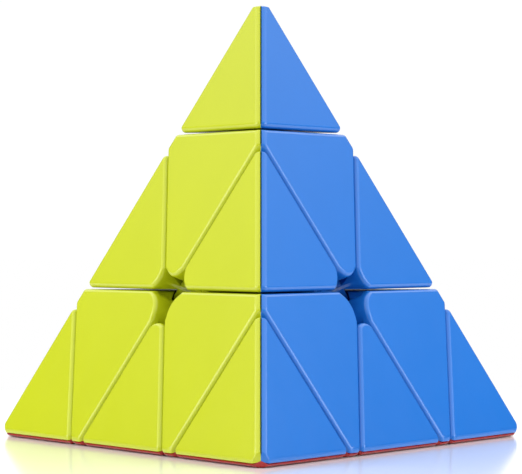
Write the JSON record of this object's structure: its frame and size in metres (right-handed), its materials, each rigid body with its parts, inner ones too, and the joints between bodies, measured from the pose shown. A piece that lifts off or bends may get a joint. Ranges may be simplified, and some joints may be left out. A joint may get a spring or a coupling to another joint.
{
  "type": "pyramid twisty puzzle",
  "caption": "Stickerless pyramid twisty puzzle whose corner layers and small tips turn about the axes of a tetrahedron",
  "frame": {"origin": "centre of the core, where the four turning axes cross", "axes": "+Z runs from the core to the top corner; +X runs along the bottom edge that is away from the front corner; -Y is towards the front corner"},
  "size_m": [0.0968, 0.0841, 0.0793],
  "materials": {
    "yellow_plastic": "moulded satin-gloss yellow plastic",
    "blue_plastic": "moulded satin-gloss blue plastic",
    "green_plastic": "moulded satin-gloss green plastic",
    "red_plastic": "moulded satin-gloss red plastic",
    "inner_plastic": "dark grey moulded plastic, unpolished",
    "steel": "zinc plated steel"
  },
  "bodies": {
    "core": {"core": "inner_plastic", "screws": "steel", "springs": "steel", "washers": "steel"},
    "axial_top": {"axial_top_green": "green_plastic", "axial_top_yellow": "yellow_plastic", "axial_top_blue": "blue_plastic", "axial_top_hub": "inner_plastic"},
    "axial_front": {"axial_front_red": "red_plastic", "axial_front_yellow": "yellow_plastic", "axial_front_blue": "blue_plastic", "axial_front_hub": "inner_plastic"},
    "axial_right": {"axial_right_red": "red_plastic", "axial_right_green": "green_plastic", "axial_right_blue": "blue_plastic", "axial_right_hub": "inner_plastic"},
    "axial_left": {"axial_left_red": "red_plastic", "axial_left_green": "green_plastic", "axial_left_yellow": "yellow_plastic", "axial_left_hub": "inner_plastic"},
    "tip_top": {"tip_top_green": "green_plastic", "tip_top_yellow": "yellow_plastic", "tip_top_blue": "blue_plastic", "tip_top_plug": "inner_plastic"},
    "tip_front": {"tip_front_red": "red_plastic", "tip_front_yellow": "yellow_plastic", "tip_front_blue": "blue_plastic", "tip_front_plug": "inner_plastic"},
    "tip_right": {"tip_right_red": "red_plastic", "tip_right_green": "green_plastic", "tip_right_blue": "blue_plastic", "tip_right_plug": "inner_plastic"},
    "tip_left": {"tip_left_red": "red_plastic", "tip_left_green": "green_plastic", "tip_left_yellow": "yellow_plastic", "tip_left_plug": "inner_plastic"},
    "edge_top_front": {"edge_top_front_yellow": "yellow_plastic", "edge_top_front_blue": "blue_plastic"},
    "edge_top_right": {"edge_top_right_green": "green_plastic", "edge_top_right_blue": "blue_plastic"},
    "edge_top_left": {"edge_top_left_green": "green_plastic", "edge_top_left_yellow": "yellow_plastic"},
    "edge_front_right": {"edge_front_right_red": "red_plastic", "edge_front_right_blue": "blue_plastic"},
    "edge_front_left": {"edge_front_left_red": "red_plastic", "edge_front_left_yellow": "yellow_plastic"},
    "edge_right_left": {"edge_right_left_red": "red_plastic", "edge_right_left_green": "green_plastic"}
  },
  "joints": [
    {"name": "turn_top", "type": "hinge", "parent": "core", "child": "axial_top", "pos_m": [0, 0, 0], "axis": [0, 0, 1], "range_deg": [-240, 120]},
    {"name": "turn_front", "type": "hinge", "parent": "core", "child": "axial_front", "pos_m": [0, 0, 0], "axis": [0, -0.9428, -0.3333], "range_deg": [-240, 120]},
    {"name": "turn_right", "type": "hinge", "parent": "core", "child": "axial_right", "pos_m": [0, 0, 0], "axis": [0.8165, 0.4714, -0.3333], "range_deg": [-240, 120]},
    {"name": "turn_left", "type": "hinge", "parent": "core", "child": "axial_left", "pos_m": [0, 0, 0], "axis": [-0.8165, 0.4714, -0.3333], "range_deg": [-240, 120]},
    {"name": "spin_tip_top", "type": "hinge", "parent": "axial_top", "child": "tip_top", "pos_m": [0, 0, 0], "axis": [0, 0, 1], "continuous": true},
    {"name": "spin_tip_front", "type": "hinge", "parent": "axial_front", "child": "tip_front", "pos_m": [0, 0, 0], "axis": [0, -0.9428, -0.3333], "continuous": true},
    {"name": "spin_tip_right", "type": "hinge", "parent": "axial_right", "child": "tip_right", "pos_m": [0, 0, 0], "axis": [0.8165, 0.4714, -0.3333], "continuous": true},
    {"name": "spin_tip_left", "type": "hinge", "parent": "axial_left", "child": "tip_left", "pos_m": [0, 0, 0], "axis": [-0.8165, 0.4714, -0.3333], "continuous": true},
    {"name": "edge_top_front_follows_front", "type": "hinge", "parent": "axial_top", "child": "edge_top_front", "pos_m": [0, 0, 0], "axis": [0, -0.9428, -0.3333], "range_deg": [-240, 120]},
    {"name": "edge_top_right_follows_right", "type": "hinge", "parent": "axial_top", "child": "edge_top_right", "pos_m": [0, 0, 0], "axis": [0.8165, 0.4714, -0.3333], "range_deg": [-240, 120]},
    {"name": "edge_top_left_follows_left", "type": "hinge", "parent": "axial_top", "child": "edge_top_left", "pos_m": [0, 0, 0], "axis": [-0.8165, 0.4714, -0.3333], "range_deg": [-240, 120]},
    {"name": "edge_front_right_follows_right", "type": "hinge", "parent": "axial_front", "child": "edge_front_right", "pos_m": [0, 0, 0], "axis": [0.8165, 0.4714, -0.3333], "range_deg": [-240, 120]},
    {"name": "edge_front_left_follows_front", "type": "hinge", "parent": "axial_left", "child": "edge_front_left", "pos_m": [0, 0, 0], "axis": [0, -0.9428, -0.3333], "range_deg": [-240, 120]},
    {"name": "edge_right_left_follows_left", "type": "hinge", "parent": "axial_right", "child": "edge_right_left", "pos_m": [0, 0, 0], "axis": [-0.8165, 0.4714, -0.3333], "range_deg": [-240, 120]}
  ],
  "couplings": [
    {"joint": "edge_top_front_follows_front", "follows": "turn_front", "ratio": 1},
    {"joint": "edge_top_right_follows_right", "follows": "turn_right", "ratio": 1},
    {"joint": "edge_top_left_follows_left", "follows": "turn_left", "ratio": 1},
    {"joint": "edge_front_right_follows_right", "follows": "turn_right", "ratio": 1},
    {"joint": "edge_front_left_follows_front", "follows": "turn_front", "ratio": 1},
    {"joint": "edge_right_left_follows_left", "follows": "turn_left", "ratio": 1}
  ]
}
